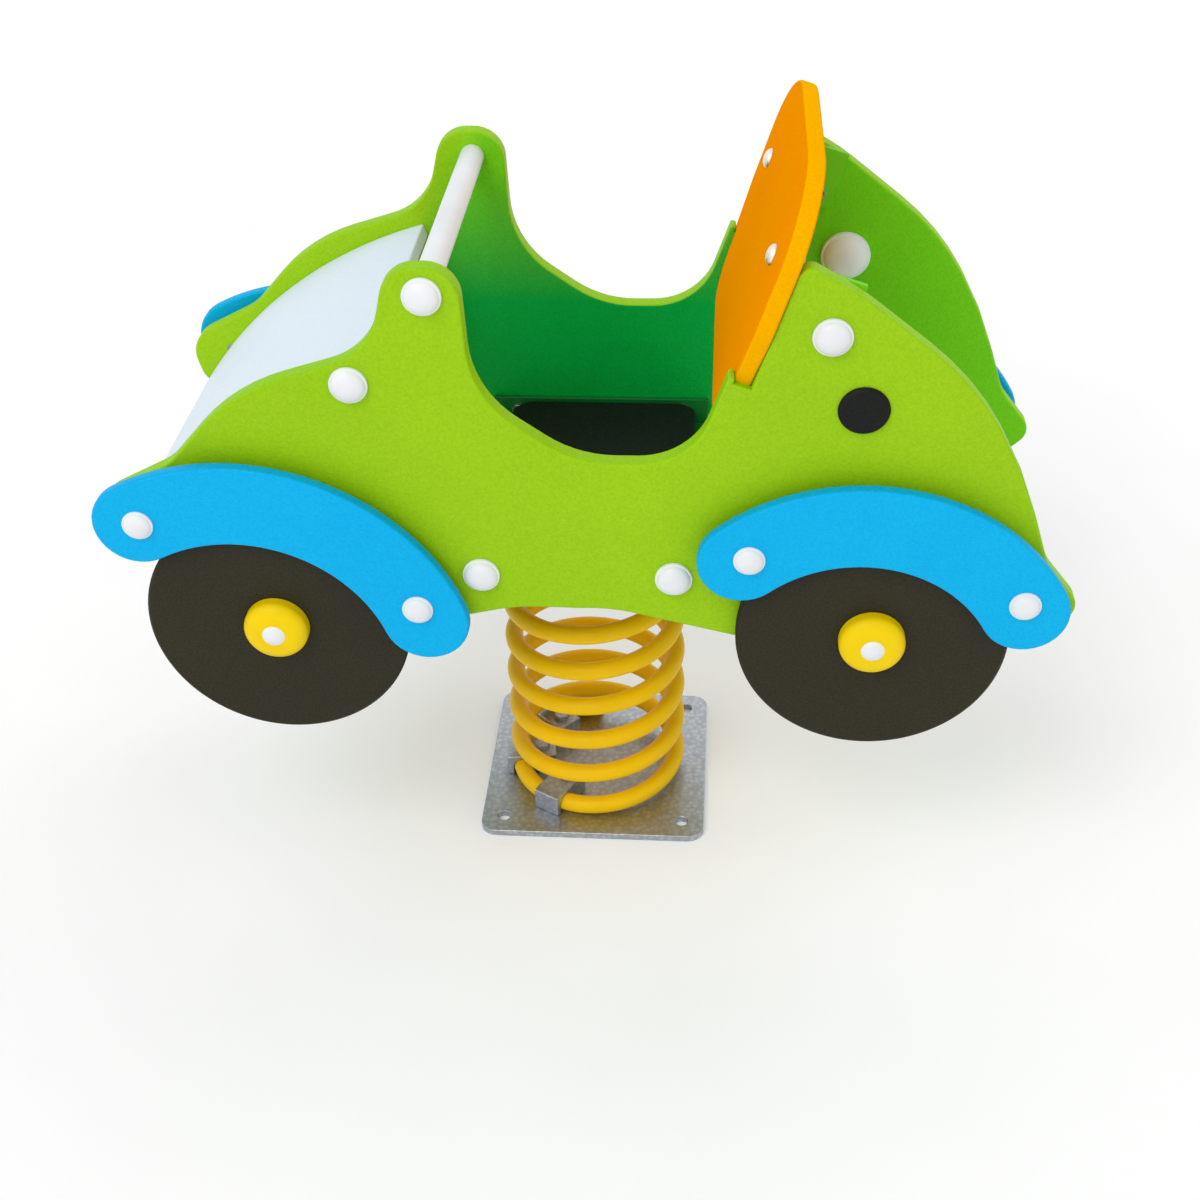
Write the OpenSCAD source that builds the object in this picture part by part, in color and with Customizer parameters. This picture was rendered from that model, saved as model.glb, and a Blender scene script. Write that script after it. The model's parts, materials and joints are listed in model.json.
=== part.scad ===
// Spring rider: a small play car of cut plastic panels on one coil spring.
// Frame: +X forward, +Y to the car's left, +Z up.
// Origin: on the ground, on the axis of the spring, under the base plate.

/* [Side panels] */
// Width over both side panels
body_w = 356; // [320:1:400]
// Thickness of a side panel
panel_t = 19; // [15:0.5:24]
// Length that the panel's outline is drawn to
panel_l = 930; // [900:1:980]
// Height of a panel from its lowest edge to the hump behind the seat
panel_h = 444; // [430:1:480]
// Depth of the panel's lowest edge below the deck that carries the car
panel_drop = 91; // [84:1:100]
// Radius of the ears that hold the handle
ear_r = 32; // [30:0.5:40]
// Height of the ear's top above the handle's axis
ear_rise = 26; // [24:0.5:40]
// Thickness of the lip in front of the seat back
lip_t = 6.5; // [4:0.5:10]
// Height of the lip in front of the seat back
lip_h = 6; // [4:1:24]
// Height of the hump along the seat back
hump_h = 130; // [120:1:152]

/* [Wheels and fenders] */
// Diameter of a wheel disc
wheel_d = 262; // [230:1:280]
// Thickness of a wheel disc
wheel_t = 13; // [10:0.5:24]
// Rounding of the wheel's edge
wheel_edge = 3; // [1:0.5:5]
// Diameter of a hub
hub_d = 64; // [54:1:76]
// Height of a hub over the wheel
hub_h = 20; // [16:0.5:26]
// Flat front of the hub
hub_face_d = 30; // [24:1:40]
// Height of the hub's straight foot
hub_foot_h = 8; // [4:0.5:12]
// Thickness of a fender
fender_t = 13; // [10:0.5:24]
// Distance from the wheel's rim to the front fender's middle line
front_fender_rise = 60; // [46:1:70]
// Width of the front fender
front_fender_w = 85; // [76:1:100]
// Distance from the wheel's rim to the rear fender's middle line
rear_fender_rise = 45; // [38:1:58]
// Width of the rear fender
rear_fender_w = 84; // [76:1:94]
// Diameter of the spacers behind the fenders
spacer_d = 28; // [22:0.5:30]

/* [Seat] */
// Length of the seat board
seat_l = 202; // [180:1:220]
// Clearance between the seat board and the nuts on the carrier's flanges
seat_side_gap = 2; // [1:0.5:20]
// Thickness of the seat board
seat_t = 19; // [15:0.5:24]
// Corner radius of the seat board
seat_corner = 24; // [10:1:40]
// Set back of the seat's middle behind the spring's axis
seat_back_set = 6; // [0:1:10]
// Width of a bearer under the seat
bearer_w = 34; // [28:1:44]
// Height of a bearer under the seat
bearer_h = 12; // [10:0.5:18]
// Distance between the two bearers' middle lines
bearer_pitch = 110; // [96:1:124]

/* [Seat back] */
// Thickness of the seat back
back_t = 17; // [13:0.5:22]
// Height of the seat back above the notch that it stands in
back_h = 193; // [180:1:220]
// Overhang of the seat back past each side panel
back_over = 4; // [0:0.5:8]
// Width of the rounding of the seat back's top corners
back_round_w = 100; // [70:1:130]
// Height of the rounding of the seat back's top corners
back_round_h = 77; // [50:1:90]
// Lean of the seat back from upright
back_lean = 18.5; // [14:0.5:24]
// Depth of the tongue between the panels
tongue_h = 62; // [30:1:80]
// Height of the tapered foot of the seat back
back_foot_h = 55; // [30:1:80]
// Taper of the seat back's foot on each side
back_foot_in = 12; // [4:0.5:16]
// Leg of the angle brackets along the panel
bracket_leg = 64; // [58:1:76]
// Leg of the angle brackets along the seat back
bracket_foot = 62; // [54:1:70]
// Height of the angle brackets
bracket_h = 62; // [54:1:70]
// Thickness of the angle brackets
bracket_t = 5; // [4:0.5:7]

/* [Bonnet and handle] */
// Thickness of the bonnet sheet
bonnet_t = 15; // [13:0.5:19]
// Diameter of the handle tube
handle_d = 25; // [22:0.5:32]
// Wall of the handle tube
handle_wall = 3; // [2:0.5:4]
// Diameter of the cross tubes at the wheels
cross_d = 34; // [28:0.5:42]
// Wall of the cross tubes
cross_wall = 3; // [2:0.5:4]
// Depth of the threaded plugs in the tube ends
plug_h = 34; // [30:1:50]

/* [Spring] */
// Outer diameter of the spring
spring_d = 200; // [180:1:206]
// Diameter of the spring wire
wire_d = 20; // [16:0.5:22]
// Height of the spring over its end coils
spring_h = 354; // [330:1:380]
// Number of open turns
open_turns = 7; // [5:1:8]
// Least gap between a flat end coil and the next turn
coil_gap = 3.9; // [1:0.1:6]

/* [Base and carrier] */
// Distance of the ground bolts from the base plate's edges
base_edge = 25; // [20:0.5:50]
// Thickness of the base plate
base_t = 8; // [6:0.5:14]
// Corner radius of the plates
plate_corner = 18; // [8:1:24]
// Distance between the ground bolts
ground_pitch = 200; // [190:1:206]
// Diameter of the ground bolt holes
ground_hole_d = 14; // [10:0.5:18]
// Side of the square plate on top of the spring
top_w = 232; // [226:1:250]
// Thickness of the plate on top of the spring
top_t = 8; // [6:0.5:12]
// Distance of the top plate's bolts from its edges
top_edge = 18; // [15:0.5:24]
// Overhang of the carrier past each end of the top plate
carrier_over = 4; // [0:0.5:15]
// Thickness of the carrier's steel
carrier_t = 6; // [5:0.5:8]
// Steel of the carrier's flanges above the middle of their bolts
flange_edge = 13; // [10:0.5:30]
// Distance between the carrier's side bolts
carrier_pitch = 186; // [170:1:196]
// Height of the carrier's side bolts over the deck
carrier_bolt_z = 23; // [20:0.5:28]
// Length of the spring clamps' foot inside the coil
clamp_foot = 30; // [26:0.5:36]
// Length of the spring clamps' lip outside the coil
clamp_lip = 6; // [4:0.5:8]
// Width of a spring clamp
clamp_w = 32; // [26:1:38]
// Steel over the wire in a spring clamp
clamp_t = 5; // [4:0.5:7]

/* [Fasteners] */
// Diameter of the panel, fender and cover bolts
bolt_d = 8; // [6:0.5:9]
// Diameter of the clamp, carrier and wheel bolts
big_bolt_d = 10; // [8:0.5:12]
// Diameter of the seat screws
screw_d = 6; // [5:0.5:8]
// Diameter of the large white bolt caps
cap_d = 36; // [30:1:44]
// Height of the large white bolt caps
cap_h = 12; // [10:0.5:16]
// Rim of the fenders' white bolt caps round the bolt head
small_cap_rim = 7.5; // [4:0.5:10]
// Roof of the fenders' white bolt caps over the bolt head
small_cap_roof = 3.5; // [2.5:0.5:6]
// Diameter of the round black covers
cover_d = 47; // [42:1:60]
// Thickness of the round black covers
cover_t = 5; // [4:0.5:12]
// Diameter of the white domes inside the panels
dome_d = 52; // [44:1:60]
// Height of the white domes inside the panels
dome_h = 20; // [16:0.5:26]

/* [Hidden] */

$fn = 64;
// Overrun of cuts past the faces that they open
over = 1;
// Clearance round the spring and round every shank
gap = 0.3;
// Length by which a threaded shank stops short of the far face
end_gap = 1;
// Angle between the points of a rounded corner
arc_step = 6;
// Number of steps in a domed profile
dome_steps = 8;

// Head, nut and sleeve sizes as shares of the shank
head_d_share = 1.8;
head_h_share = 0.65;
nut_h_share = 0.8;
screw_head_share = 2;
round_head_share = 2.5;
sleeve_d_share = 1.5;

// Sizes that follow from those above
inner_w = body_w - 2 * panel_t;
seat_w = inner_w - 2 * (carrier_t + nut_h_share * bolt_d + seat_side_gap);
flange_h = carrier_bolt_z + flange_edge;
base_w = ground_pitch + 2 * base_edge;
top_pitch = top_w - 2 * top_edge;
carrier_l = top_w + 2 * carrier_over;
small_cap_d = head_d_share * bolt_d + 2 * gap + 2 * small_cap_rim;
small_cap_h = head_h_share * bolt_d + gap + small_cap_roof;
front_fender_r = wheel_d / 2 + front_fender_rise;
rear_fender_r = wheel_d / 2 + rear_fender_rise;

// Heights of the stack on the spring
wire_r = wire_d / 2;
coil_r = spring_d / 2 - wire_r;
spring_z = base_t + gap;
top_z = spring_z + spring_h + gap;
deck_z = top_z + top_t;
seat_z = deck_z + carrier_t + bearer_h;
foot_z = deck_z - panel_drop;

// Turns of the spring: each flat end coil runs on until the next turn leaves it its gap
start_deg = -90;
pitch = (spring_h - wire_d) / open_turns;
end_deg = 360 * (1 - (wire_d + coil_gap) / pitch);
climb_deg = 360 * open_turns;
whole_deg = climb_deg + 2 * end_deg;

// A place on the panel from its shares of the panel's length and height
function on_panel(s) = [s[0] * panel_l, foot_z + s[1] * panel_h];
function on_circle(r, deg) = [r * cos(deg), r * sin(deg)];
function turned(v, deg) = [v[0] * cos(deg) - v[1] * sin(deg), v[0] * sin(deg) + v[1] * cos(deg)];

// Places on the panel, as shares of its length and height
handle_shares = [0.138, 0.919];
cover_shares = [-0.282, 0.678];
front_wheel_shares = [0.320, 0.128];
rear_wheel_shares = [-0.3055, 0.128];
back_foot_shares = [-0.1562, 0.731];
bonnet_front_shares = [0.483, 0.312];
bonnet_mid_shares = [0.358, 0.587];
bonnet_rear_shares = [0.1995, 0.749];

handle = on_panel(handle_shares);
cover = on_panel(cover_shares);
front_wheel = on_panel(front_wheel_shares);
rear_wheel = on_panel(rear_wheel_shares);
wheels = [front_wheel, rear_wheel];

// Fenders: middle of each arc from its wheel as shares of its radius, and the angles of its ends
front_shift_shares = [0.1565, -0.247];
rear_shift_shares = [0.08, -0.245];
fender_mids = [front_wheel + front_fender_r * front_shift_shares,
    rear_wheel + rear_fender_r * rear_shift_shares];
fender_rs = [front_fender_r, rear_fender_r];
fender_ws = [front_fender_w, rear_fender_w];
front_end_degs = [62, 161];
rear_end_degs = [50, 151];
// The ends next to the carrier's side bolts stop short of their caps
cap_gap = 2;
cap_room = (carrier_pitch + cap_d + spacer_d) / 2 + cap_gap;
front_stop_share = max(-1, (cap_room - fender_mids[0][0]) / front_fender_r);
rear_stop_share = min(1, (-cap_room - fender_mids[1][0]) / rear_fender_r);
fender_ends = [[front_end_degs[0], min(front_end_degs[1], acos(front_stop_share))],
    [max(rear_end_degs[0], acos(rear_stop_share)), rear_end_degs[1]]];
// The bolts stand in from the ends of the arcs by these angles
bolt_in_degs = [[1, 5.5], [3, 3.5]];
fender_bolt_degs = [for (i = [0, 1])
    [fender_ends[i][0] + bolt_in_degs[i][0], fender_ends[i][1] - bolt_in_degs[i][1]]];
// The spacers round them keep clear of the wheel's rim
rim_gap = 3;
rim_room = (wheel_d + spacer_d) / 2 + rim_gap;
function off_rim(v) = max(norm(v), rim_room) * unit(v);
fender_bolt_at = [for (i = [0, 1], deg = fender_bolt_degs[i])
    wheels[i] + off_rim(fender_mids[i] + on_circle(fender_rs[i], deg) - wheels[i])];

// Seat back: its foot in the notch, the way up it and the way out of its rear face
back_foot = on_panel(back_foot_shares);
back_up = [-sin(back_lean), cos(back_lean)];
back_out = [-cos(back_lean), -sin(back_lean)];
function on_back(out, up) = back_foot + out * back_out + up * back_up;

// Angle brackets: foot along the back, and the bolts in each leg
bracket_foot_share = 0.30;
bracket_z = bracket_foot_share * back_h;
bracket_bolt_out_share = 0.76;
bracket_bolt_up_share = 0.25;
back_bolt_in_share = 0.68;
back_bolt_up_share = 0.735;
bracket_bolt = on_back(back_t + bracket_bolt_out_share * bracket_leg,
    bracket_z + bracket_bolt_up_share * bracket_h);
back_bolt_y = inner_w / 2 - back_bolt_in_share * bracket_foot;
back_bolt_z = bracket_z + back_bolt_up_share * bracket_h;

// Bonnet: a cylinder's arc through three places on its top face
bonnet_front = on_panel(bonnet_front_shares);
bonnet_mid = on_panel(bonnet_mid_shares);
bonnet_rear = on_panel(bonnet_rear_shares);
function cross2(a, b) = a[0] * b[1] - a[1] * b[0];
// Middle of the circle through three points
function circle_mid(a, b, c) =
    let (u = b - a, v = c - a, d = 2 * cross2(u, v), uu = u * u, vv = v * v)
    a + [v[1] * uu - u[1] * vv, u[0] * vv - v[0] * uu] / d;
bonnet_c = circle_mid(bonnet_front, bonnet_mid, bonnet_rear);
bonnet_r = norm(bonnet_mid - bonnet_c);
function deg_of(p) = atan2(p[1] - bonnet_c[1], p[0] - bonnet_c[0]);
bonnet_deg = [deg_of(bonnet_front), deg_of(bonnet_rear)];
bonnet_screw_share = 0.36;
bonnet_bolt_share = 0.94;
function on_bonnet(share) = bonnet_c + on_circle(bonnet_r - bonnet_t / 2,
    bonnet_deg[0] + share * (bonnet_deg[1] - bonnet_deg[0]));
bonnet_screw = on_bonnet(bonnet_screw_share);
bonnet_bolt = on_bonnet(bonnet_bolt_share);

// Bolts that hold the panels to what lies between them
carrier_bolt_at = [for (e = [-1, 1]) [e * carrier_pitch / 2, deck_z + carrier_bolt_z]];
through_at = concat(carrier_bolt_at, [bracket_bolt]);
through_t = [carrier_t, carrier_t, bracket_t];
tapped_at = [handle, bonnet_bolt];

// Panel outline: corner places as shares, each with its rounding as a share of the height
front_shares = [[0.435, 0.284, 0.068], [0.484, 0.311, 0.059], [0.498, 0.430, 0.077],
    [0.412, 0.522, 0.135], [0.337, 0.696, 1.33], [0.194, 0.789, 0.164]];
well_shares = [[0.098, 0.691, 0.225], [-0.003, 0.539, 0.248], [-0.116, 0.541, 0.191]];
rear_shares = [[-0.271, 0.931, 0.562], [-0.386, 0.737, 1.30], [-0.443, 0.530, 1.22],
    [-0.477, 0.311, 0.090], [-0.518, 0.201, 0.045], [-0.491, 0.146, 0.050]];
under_shares = [[-0.425, 0.144, 0.090], [-0.363, 0, 0.113], [-0.269, 0, 0.101],
    [-0.228, 0.072, 0.135], [-0.038, 0.169, 0.338], [0.067, 0.169, 0.338],
    [0.226, 0.088, 0.135], [0.269, 0, 0.101], [0.363, 0, 0.113], [0.414, 0.164, 0.090]];
peak_round_share = 0.028;
lip_round_share = 0.4;
function corners(rows) = [for (s = rows) concat(on_panel(s), s[2] * panel_h)];
panel_corners = concat(
    corners(front_shares),
    [for (side = [1, -1]) [handle[0] + side * ear_r, handle[1] + ear_rise, ear_r]],
    corners(well_shares),
    [for (out = [-lip_t, 0]) concat(on_back(out, lip_h), lip_round_share * lip_t)],
    [concat(on_back(0, 0), 0), concat(on_back(back_t, 0), 0)],
    [concat(on_back(back_t, hump_h), peak_round_share * panel_h)],
    corners(rear_shares),
    corners(under_shares));

// Rounded outline through corners given as [x, z, radius]
function unit(v) = v / norm(v);
function corner_arc(p, c, n) =
    let (
        a = [p[0] - c[0], p[1] - c[1]],
        b = [n[0] - c[0], n[1] - c[1]],
        open = acos(max(-1, min(1, unit(a) * unit(b)))),
        reach = min(c[2] / tan(open / 2), min(norm(a), norm(b)) / 2),
        r = reach * tan(open / 2),
        here = [c[0], c[1]],
        mid = here + unit(unit(a) + unit(b)) * r / sin(open / 2),
        spoke = here + unit(a) * reach - mid,
        turn = (180 - open) * sign(cross2(b, a)),
        steps = max(2, ceil(abs(turn) / arc_step)))
    c[2] == 0 ? [here] : [for (i = [0:steps]) mid + turned(spoke, turn * i / steps)];
function rounded(rows) = [for (i = [0:len(rows) - 1])
    each corner_arc(rows[(i + len(rows) - 1) % len(rows)], rows[i], rows[(i + 1) % len(rows)])];

// An outline in XZ stands up, from y0 to y0 + t
module standing(y0, t) {
    translate([0, y0 + t, 0]) rotate([90, 0, 0]) linear_extrude(t) children();
}

// A round bar along Y at a place in XZ
module bar_y(at, d, y0, y1) {
    translate([at[0], y0, at[1]]) rotate([-90, 0, 0]) cylinder(d = d, h = y1 - y0);
}

// A hexagon along Y at a place in XZ
module hex_y(at, d, y0, h) {
    translate([at[0], y0, at[1]]) rotate([-90, 0, 0]) cylinder(d = d, h = h, $fn = 6);
}

// A turned piece along +Y from a half profile of [radius, height] rows
module turned_y(at, y0, rows) {
    translate([at[0], y0, at[1]]) rotate([-90, 0, 0]) rotate_extrude() polygon(rows);
}

// Left and right copies of what is drawn for the left
module both_sides() {
    children();
    mirror([0, 1, 0]) children();
}

// Bolt along -Y: its head stands outside y_head, its shank runs in for len
module bolt_in(at, d, y_head, len) {
    hex_y(at, head_d_share * d, y_head, head_h_share * d);
    bar_y(at, d, y_head - len, y_head);
}

// Hexagon nut along Y from y0
module nut_y(at, d, y0) {
    difference() {
        hex_y(at, head_d_share * d, y0, nut_h_share * d);
        bar_y(at, d + 2 * gap, y0 - over, y0 + nut_h_share * d + over);
    }
}

// White cap: a low ring with a domed lid on it, and a pocket for a bolt head
cap_ring_share = 0.3;
cap_lid_share = 0.9;

module bolt_cap(at, y0, d, h, shank_d) {
    ring_h = cap_ring_share * h;
    lid_r = cap_lid_share * d / 2;
    lid = [for (i = [0:dome_steps]) [lid_r * cos(90 * i / dome_steps),
        ring_h + (h - ring_h) * sin(90 * i / dome_steps)]];
    pocket_d = head_d_share * shank_d + 2 * gap;
    difference() {
        turned_y(at, y0, concat([[0, 0], [d / 2, 0], [d / 2, ring_h]], lid));
        bar_y(at, pocket_d, y0 - over, y0 + head_h_share * shank_d + gap);
    }
}

// Square plate with round corners from z0
module square_plate(w, t, z0) {
    straight = w - 2 * plate_corner;
    translate([0, 0, z0]) linear_extrude(t) union() {
        square([w, straight], center = true);
        square([straight, w], center = true);
        for (x = [-1, 1], y = [-1, 1])
            translate([x * straight / 2, y * straight / 2]) circle(r = plate_corner);
    }
}

// Bolt holes at the four corners of a square
module four_holes(pitch, d, z0, z1) {
    for (x = [-1, 1], y = [-1, 1])
        translate([x * pitch / 2, y * pitch / 2, z0]) cylinder(d = d, h = z1 - z0);
}

// Clamps: three on each flat end coil, at shares of it from the end of the wire
clamp_shares = [0.255, 0.545, 0.835];
lower_degs = [for (share = clamp_shares) start_deg + share * end_deg];
upper_degs = [for (share = clamp_shares) start_deg + whole_deg - share * end_deg];
clamp_h = wire_d + 2 * gap + clamp_t;
clamp_bolt_r = coil_r - wire_r - clamp_foot / 2;

module at_clamps(degs) {
    for (deg = degs) rotate([0, 0, deg]) children();
}

// One clamp on the plate z = 0, over a wire that lies on it
module spring_clamp() {
    inner = coil_r - wire_r - clamp_foot;
    outer = coil_r + wire_r + clamp_lip;
    groove_r = wire_r + gap;
    difference() {
        translate([inner, -clamp_w / 2, 0]) cube([outer - inner, clamp_w, clamp_h]);
        rotate_extrude() translate([coil_r, wire_r + gap]) circle(r = groove_r);
        rotate_extrude() translate([coil_r - groove_r, -over])
            square([2 * groove_r, wire_r + gap + over]);
        translate([clamp_bolt_r, 0, -over])
            cylinder(d = big_bolt_d + 2 * gap, h = clamp_h + 2 * over);
    }
}

module clamp_bolt(plate_t) {
    translate([clamp_bolt_r, 0, clamp_h])
        cylinder(d = head_d_share * big_bolt_d, h = head_h_share * big_bolt_d, $fn = 6);
    translate([clamp_bolt_r, 0, end_gap - plate_t])
        cylinder(d = big_bolt_d, h = clamp_h + plate_t - end_gap);
}

module clamp_holes(z0, z1, degs) {
    at_clamps(degs) translate([clamp_bolt_r, 0, z0])
        cylinder(d = big_bolt_d + 2 * gap, h = z1 - z0);
}

module base_plate() {
    color("silver") difference() {
        square_plate(base_w, base_t, 0);
        four_holes(ground_pitch, ground_hole_d, -over, base_t + over);
        clamp_holes(-over, base_t + over, lower_degs);
    }
}

module lower_spring_clamps() {
    color("silver") translate([0, 0, base_t]) at_clamps(lower_degs) spring_clamp();
}

module lower_clamp_bolts() {
    color("gainsboro") translate([0, 0, base_t]) at_clamps(lower_degs) clamp_bolt(base_t);
}

module upside_down() {
    translate([0, 0, top_z]) mirror([0, 0, 1]) children();
}

module upper_spring_plate() {
    color("silver") difference() {
        square_plate(top_w, top_t, top_z);
        four_holes(top_pitch, big_bolt_d + 2 * gap, top_z - over, deck_z + over);
        clamp_holes(top_z - over, deck_z + over, upper_degs);
    }
}

module upper_spring_clamps() {
    color("silver") upside_down() at_clamps(upper_degs) spring_clamp();
}

module upper_clamp_bolts() {
    color("gainsboro") upside_down() at_clamps(upper_degs) clamp_bolt(top_t);
}

// Spring: the wire's middle line lies flat at both ends and climbs between them
turn_rings = 44;
wire_sides = 8;
ease_deg = 24;
function eased(x) = x <= -ease_deg ? 0 : x >= ease_deg ? x : pow(x + ease_deg, 2) / (4 * ease_deg);
function wire_z(deg) = spring_z + wire_r
    + pitch / 360 * (eased(deg - end_deg) - eased(deg - end_deg - climb_deg));
function wire_at(deg) = concat(on_circle(coil_r, start_deg + deg), wire_z(deg));
ring_count = ceil(whole_deg / 360 * turn_rings);
ring_deg = whole_deg / ring_count;
look_deg = ring_deg / 4;
function wire_ring(deg) =
    let (
        mid = wire_at(deg),
        along = unit(wire_at(deg + look_deg) - wire_at(deg - look_deg)),
        out = concat(on_circle(1, start_deg + deg), 0),
        up = cross(along, -out))
    [for (k = [0:wire_sides - 1])
        mid + wire_r * (cos(360 * k / wire_sides) * out + sin(360 * k / wire_sides) * up)];
wire_points = [for (i = [0:ring_count]) each wire_ring(i * ring_deg)];
wire_faces = concat(
    [for (i = [0:ring_count - 1], k = [0:wire_sides - 1])
        let (a = i * wire_sides, b = a + wire_sides, n = (k + 1) % wire_sides)
        each [[a + k, b + k, a + n], [a + n, b + k, b + n]]],
    [for (k = [1:wire_sides - 2]) [0, k, k + 1]],
    [for (k = [1:wire_sides - 2]) let (e = ring_count * wire_sides) [e, e + k + 1, e + k]]);
wire_line = [for (i = [0:ring_count]) wire_at(i * ring_deg)];
half_turn = ceil(turn_rings / 2);
wire_gap = min([for (i = [0:ring_count - half_turn], j = [i + half_turn:ring_count])
    norm(wire_line[i] - wire_line[j])]) - wire_d;
echo(least_gap_in_spring = wire_gap);

module spring() {
    color("gold") polyhedron(points = wire_points, faces = wire_faces);
}

// Carrier: a steel channel on the top plate, bolted between the panels
screw_x_share = 0.36;
screw_xs = [for (e = [-1, 1]) e * screw_x_share * seat_l - seat_back_set];

module carrier() {
    color([0.30, 0.45, 0.16]) difference() {
        union() {
            translate([-carrier_l / 2, -inner_w / 2, deck_z]) cube([carrier_l, inner_w, carrier_t]);
            both_sides() translate([-carrier_l / 2, inner_w / 2 - carrier_t, deck_z])
                cube([carrier_l, carrier_t, flange_h]);
        }
        four_holes(top_pitch, big_bolt_d + 2 * gap, deck_z - over, deck_z + carrier_t + over);
        for (at = carrier_bolt_at) bar_y(at, bolt_d + 2 * gap, -body_w, body_w);
        at_seat_screws() translate([0, 0, deck_z - over])
            cylinder(d = screw_d + 2 * gap, h = carrier_t + 2 * over);
    }
}

module at_top_bolts() {
    for (x = [-1, 1], y = [-1, 1]) translate([x * top_pitch / 2, y * top_pitch / 2, 0]) children();
}

module carrier_bolts() {
    nut_h = nut_h_share * big_bolt_d;
    color("gainsboro") at_top_bolts() {
        translate([0, 0, deck_z + carrier_t])
            cylinder(d = head_d_share * big_bolt_d, h = head_h_share * big_bolt_d, $fn = 6);
        translate([0, 0, top_z - nut_h]) cylinder(d = big_bolt_d, h = nut_h + top_t + carrier_t);
    }
}

module carrier_nuts() {
    nut_h = nut_h_share * big_bolt_d;
    color("gainsboro") at_top_bolts() translate([0, 0, top_z - nut_h]) difference() {
        cylinder(d = head_d_share * big_bolt_d, h = nut_h, $fn = 6);
        translate([0, 0, -over]) cylinder(d = big_bolt_d + 2 * gap, h = nut_h + 2 * over);
    }
}

module at_seat_screws() {
    for (x = screw_xs, y = [-1, 1]) translate([x, y * bearer_pitch / 2, 0]) children();
}

module seat_bearers() {
    color("dimgray") difference() {
        for (y = [-1, 1])
            translate([-seat_l / 2 - seat_back_set, y * bearer_pitch / 2, deck_z + carrier_t])
                translate([0, -bearer_w / 2, 0]) cube([seat_l, bearer_w, bearer_h]);
        at_seat_screws() translate([0, 0, deck_z])
            cylinder(d = screw_d + 2 * gap, h = seat_z - deck_z + over);
    }
}

module seat() {
    half_l = seat_l / 2;
    half_w = seat_w / 2;
    rows = [[half_l, -half_w, seat_corner], [half_l, half_w, seat_corner],
        [-half_l, half_w, seat_corner], [-half_l, -half_w, seat_corner]];
    color([0.11, 0.11, 0.11]) difference() {
        translate([-seat_back_set, 0, seat_z]) linear_extrude(seat_t) polygon(rounded(rows));
        at_seat_screws() seat_screw(gap, over);
    }
}

// Countersunk screw from the seat's top face down into the carrier
module seat_screw(room, top_over) {
    top = seat_z + seat_t;
    foot = deck_z + end_gap;
    head_d = screw_head_share * screw_d;
    head_h = (head_d - screw_d) / 2;
    translate([0, 0, foot]) cylinder(d = screw_d + 2 * room, h = top - foot - head_h);
    translate([0, 0, top - head_h])
        cylinder(d1 = screw_d + 2 * room, d2 = head_d + 2 * room, h = head_h);
    if (top_over > 0) translate([0, 0, top]) cylinder(d = head_d + 2 * room, h = top_over);
}

module seat_screws() {
    color("dimgray") at_seat_screws() seat_screw(0, 0);
}

// Side panel: rounded outline with every bolt hole
sleeve_d = sleeve_d_share * bolt_d;
sleeve_h_share = 0.75;
sleeve_h = sleeve_h_share * panel_t;

module side_panel() {
    y_in = inner_w / 2;
    y_out = body_w / 2;
    small = bolt_d + 2 * gap;
    color([0.61, 0.82, 0.16]) difference() {
        standing(y_in, panel_t) polygon(rounded(panel_corners));
        for (at = concat(through_at, tapped_at, [bonnet_screw, cover], fender_bolt_at))
            bar_y(at, small, y_in - over, y_out + over);
        for (at = fender_bolt_at) bar_y(at, sleeve_d + 2 * gap, y_in - over, y_in + sleeve_h + gap);
        for (at = wheels) bar_y(at, big_bolt_d + 2 * gap, y_in - over, y_out + over);
    }
}

module left_side_panel() {
    side_panel();
}

module right_side_panel() {
    mirror([0, 1, 0]) side_panel();
}

// Bonnet: a bent sheet between the panels; depth of the tapped holes in its edges
bonnet_tap_h = 40;

module bonnet() {
    color([0.87, 0.92, 0.96]) difference() {
        translate([bonnet_c[0], inner_w / 2, bonnet_c[1]]) rotate([90, 0, 0])
            rotate([0, 0, bonnet_deg[0]])
            rotate_extrude(angle = bonnet_deg[1] - bonnet_deg[0])
            translate([bonnet_r - bonnet_t, 0]) square([bonnet_t, inner_w]);
        for (at = [bonnet_screw, bonnet_bolt]) both_sides()
            bar_y(at, bolt_d + 2 * gap, inner_w / 2 - bonnet_tap_h, inner_w / 2 + over);
    }
}

module bonnet_screws() {
    color("gainsboro") both_sides()
        bolt_in(bonnet_screw, bolt_d, body_w / 2, panel_t + bonnet_tap_h - end_gap);
}

// Seat back: local X runs forward, local Z up along the board
module on_seat_back() {
    translate([back_foot[0], 0, back_foot[1]]) rotate([0, -back_lean, 0]) children();
}

tongue_round_share = 0.26;
// Top corner of the seat back as a quarter of an ellipse, from the side to the top edge
corner_steps = 12;
back_corner = [for (i = [0:corner_steps])
    [body_w / 2 + back_over - back_round_w * (1 - cos(90 * i / corner_steps)),
        back_h - back_round_h * (1 - sin(90 * i / corner_steps))]];

module back_outline() {
    tongue_w = inner_w - 2 * gap;
    tongue_r = tongue_round_share * back_h;
    half_w = body_w / 2 + back_over;
    side = concat([[half_w - back_foot_in, 0]],
        corner_arc([half_w - back_foot_in, 0], [half_w, back_foot_h, back_foot_h], [half_w, back_h]),
        back_corner);
    polygon(concat(side, [for (i = [len(side) - 1:-1:0]) [-side[i][0], side[i][1]]]));
    polygon(rounded([[-tongue_w / 2, back_h / 2, 0], [-tongue_w / 2, -tongue_h, tongue_r],
        [tongue_w / 2, -tongue_h, tongue_r], [tongue_w / 2, back_h / 2, 0]]));
}

module at_back_bolts() {
    for (y = [-1, 1]) translate([0, y * back_bolt_y, back_bolt_z]) children();
}

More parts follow.
